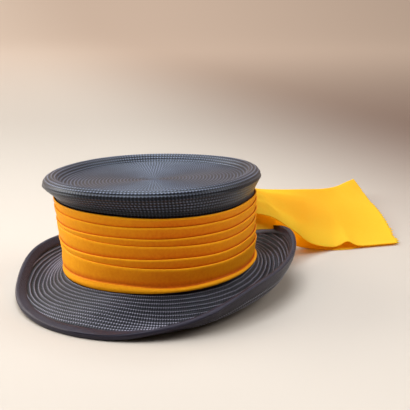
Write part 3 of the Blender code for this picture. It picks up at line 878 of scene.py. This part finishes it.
def make_tail(material, rows_along=64, columns=420):
    """One doubled sheet with a pinked end, laid from the band over the brim onto the table."""
    rows = tail_rows()
    spots = [[tail_sheet(rows, i / rows_along, j / columns) for j in range(columns + 1)]
             for i in range(rows_along + 1)]
    last, before = spots[-1], spots[-2]
    run = 0.0
    for j in range(columns + 1):
        if j:
            run += (last[j] - last[j - 1]).length
        ahead = (last[j] - before[j]).normalized()
        tooth = abs((run / TOOTH) % 1.0 - 0.5) * 2
        wander = 4.0 * MM * noise.noise((run / (22 * MM), 1.0, 0.0))
        uneven = 0.8 + 0.5 * noise.noise((run / (9 * MM), 9.0, 0.0))
        shift = ahead * (TOOTH_DEPTH * (tooth - 0.5) * uneven + wander)
        last[j] += shift
        before[j] += shift * 0.15
    n, m = rows_along + 1, columns + 1

    def at(i, j):
        return spots[clamp(i, 0, rows_along)][clamp(j, 0, columns)]

    verts, faces, corners = [], [], []
    for side in (0.5, -0.5):
        for i in range(n):
            for j in range(m):
                facing = (at(i + 1, j) - at(i - 1, j)).cross(at(i, j + 1) - at(i, j - 1)).normalized()
                p = at(i, j) + facing * (side * SCARF)
                p.z = max(p.z, 0.0)
                verts.append(p)

    def weave(i, j):
        return (i / rows_along * 0.24, j / columns * 0.46, 0.9)

    def add(quad, places):
        faces.append(quad)
        corners.extend(weave(*q) for q in places)

    for i in range(rows_along):
        for j in range(columns):
            quad = (i * m + j, (i + 1) * m + j, (i + 1) * m + j + 1, i * m + j + 1)
            places = ((i, j), (i + 1, j), (i + 1, j + 1), (i, j + 1))
            add(quad, places)
            add(tuple(n * m + q for q in quad[::-1]), places[::-1])
    rim = [(i, 0) for i in range(n)] + [(n - 1, j) for j in range(1, m)]
    rim += [(i, m - 1) for i in range(n - 2, -1, -1)] + [(0, j) for j in range(m - 2, 0, -1)]
    for (i, j), (k, l) in zip(rim, rim[1:] + rim[:1]):
        a, b = k * m + l, i * m + j
        add((a, b, n * m + b, n * m + a), ((k, l), (i, j), (i, j), (k, l)))
    obj = piece("tail_scarf", verts, faces, corners, material)
    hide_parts("scarf_tail")


def make_camera():
    data = bpy.data.cameras.new("camera")
    camera = bpy.data.objects.new("camera", data)
    bpy.context.collection.objects.link(camera)
    camera.location = CAMERA_PLACE
    back = Vector((math.sin(CAMERA_AZIMUTH) * math.cos(CAMERA_DOWN),
                   -math.cos(CAMERA_AZIMUTH) * math.cos(CAMERA_DOWN), math.sin(CAMERA_DOWN)))
    camera.rotation_mode = "QUATERNION"
    camera.rotation_quaternion = (-back).to_track_quat("-Z", "Y")
    data.sensor_width = CAMERA_SENSOR
    data.lens = CAMERA_LENS
    data.clip_start = 0.02
    data.clip_end = 20
    bpy.context.scene.camera = camera


def area_light(name, location, aim, size, power, colour):
    data = bpy.data.lights.new(name, "AREA")
    data.shape = "RECTANGLE"
    data.size, data.size_y = size
    data.energy = power
    data.color = colour
    light = bpy.data.objects.new(name, data)
    bpy.context.collection.objects.link(light)
    light.location = location
    light.visible_camera = False
    light.rotation_mode = "QUATERNION"
    light.rotation_quaternion = (Vector(aim) - Vector(location)).to_track_quat("-Z", "Y")


def make_stage():
    """Round paper sweep: a flat floor that curves up into a wall on all sides, painted darker to the right
    and towards the back and painted to glow on the far side.
    """
    material = bpy.data.materials.new("paper")
    material.use_nodes = True
    tree = material.node_tree
    shader = tree.nodes["Principled BSDF"]
    spot = tree.nodes.new("ShaderNodeTexCoord").outputs["Object"]

    def reach(direction, start, end, low, high):
        """A smooth change from low to high between two distances along a direction over the floor."""
        along_it = tree.nodes.new("ShaderNodeVectorMath")
        along_it.operation = "DOT_PRODUCT"
        along_it.inputs[1].default_value = direction
        tree.links.new(spot, along_it.inputs[0])
        change = tree.nodes.new("ShaderNodeMapRange")
        change.interpolation_type = "SMOOTHSTEP"
        for name, value in zip(("From Min", "From Max", "To Min", "To Max"), (start, end, low, high)):
            change.inputs[name].default_value = value
        tree.links.new(along_it.outputs["Value"], change.inputs["Value"])
        return change.outputs[0]

    def scaled(colour, factor):
        node = tree.nodes.new("ShaderNodeVectorMath")
        node.operation = "SCALE"
        tree.links.new(colour, node.inputs[0])
        tree.links.new(factor, node.inputs["Scale"])
        return node.outputs[0]

    grain = tree.nodes.new("ShaderNodeTexNoise")
    grain.inputs["Scale"].default_value = 3.0
    tint = tree.nodes.new("ShaderNodeValToRGB")
    for element, colour in zip(tint.color_ramp.elements, PAPER_TINTS):
        element.color = colour
    tree.links.new(grain.outputs["Fac"], tint.inputs[0])
    # painted shade on the right of the floor, then painted darkening towards the back
    shade = tree.nodes.new("ShaderNodeMix")
    shade.data_type = "RGBA"
    colours = [socket for socket in shade.inputs if socket.type == "RGBA"]
    tree.links.new(tint.outputs[0], colours[0])
    colours[1].default_value = PAPER_SHADE
    tree.links.new(reach(*SHADE_REACH), shade.inputs[0])
    shaded = [socket for socket in shade.outputs if socket.type == "RGBA"][0]
    tree.links.new(scaled(shaded, reach(*BACK_SHADE_REACH)), shader.inputs["Base Color"])
    # painted glow: the far floor and wall glow though they are no lamp
    shader.inputs["Emission Color"].default_value = PAPER_GLOW
    glow = tree.nodes.new("ShaderNodeMath")
    glow.operation = "MULTIPLY"
    tree.links.new(reach(*GLOW_REACH), glow.inputs[0])
    tree.links.new(reach(*GLOW_FADE), glow.inputs[1])
    tree.links.new(glow.outputs[0], shader.inputs["Emission Strength"])
    shader.inputs["Roughness"].default_value = 0.9
    shader.inputs["Specular IOR Level"].default_value = 0.2
    columns = 96
    profile = [(FLOOR_FLAT * k / 8, 0.0) for k in range(1, 9)]
    quarter_turn = [math.pi / 2 * k / 12 for k in range(1, 13)]
    profile += [(FLOOR_FLAT + FLOOR_BEND * math.sin(t), FLOOR_BEND - FLOOR_BEND * math.cos(t))
                for t in quarter_turn]
    profile.append((FLOOR_FLAT + FLOOR_BEND, FLOOR_BEND + FLOOR_WALL))
    verts = [(0, 0, 0)]
    verts += [(r * math.cos(a), r * math.sin(a), z) for r, z in profile for a in turns(columns)]
    faces = [(0, 1 + k, 1 + (k + 1) % columns) for k in range(columns)]
    for i in range(len(profile) - 1):
        for k in range(columns):
            l = (k + 1) % columns
            a, b = 1 + i * columns, 1 + (i + 1) * columns
            faces.append((a + k, b + k, b + l, a + l))
    mesh = bpy.data.meshes.new("floor")
    mesh.from_pydata(verts, [], faces)
    mesh.polygons.foreach_set("use_smooth", [True] * len(mesh.polygons))
    mesh.materials.append(material)
    floor = bpy.data.objects.new("floor", mesh)
    bpy.context.collection.objects.link(floor)
    world = bpy.data.worlds.new("studio")
    world.use_nodes = True
    background = world.node_tree.nodes["Background"]
    background.inputs["Color"].default_value = WORLD_COLOUR
    background.inputs["Strength"].default_value = WORLD_STRENGTH
    bpy.context.scene.world = world
    for light in LIGHTS:
        area_light(*light)


# the colour argument is the painted sheen on the bead tops; the straw itself is near black
brim_straw = straw_material("brim_straw", 0.40 * MM, (0.44, 0.43, 0.54), 0.25)
crown_straw = straw_material("crown_straw", 0.20 * MM, (0.26, 0.305, 0.44), 0.40)
ribbon = ribbon_material()
scarf = scarf_material("scarf")
# the tail is the same cloth as the band, made thin for light through it and painted lighter and yellower as
# lit
thin_painted_lit_scarf = scarf_material("scarf_thin_painted_lit", 0.60)

make_crown(crown_straw)
make_brim(brim_straw)
make_binding(ribbon)
make_band(scarf)
make_stage()
make_tail(thin_painted_lit_scarf)
make_camera()
bpy.context.scene.view_settings.view_transform = "Standard"
